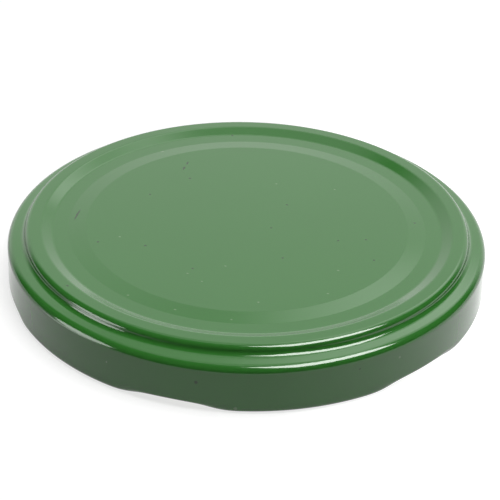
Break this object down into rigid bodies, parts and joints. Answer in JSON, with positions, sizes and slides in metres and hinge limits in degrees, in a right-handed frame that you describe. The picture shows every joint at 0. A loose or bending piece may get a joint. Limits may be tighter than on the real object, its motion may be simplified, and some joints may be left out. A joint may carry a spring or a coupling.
{
  "type": "jar lid",
  "caption": "Pressed metal twist-off jar lid with a raised gasket bead, a rolled rim pressed into gripping lugs, and a cast sealing ring.",
  "frame": {"origin": "on the lid's axis, in the plane its rolled rim rests on", "axes": "+Z along the lid's axis, out through the top of the panel; one lug is centred on -Y"},
  "size_m": [0.085, 0.085, 0.0108],
  "materials": {
    "green_lacquer": "gloss",
    "seal_compound": "satin"
  },
  "bodies": {
    "root": {"shell": "green_lacquer", "sealing_ring": "seal_compound"}
  },
  "joints": []
}
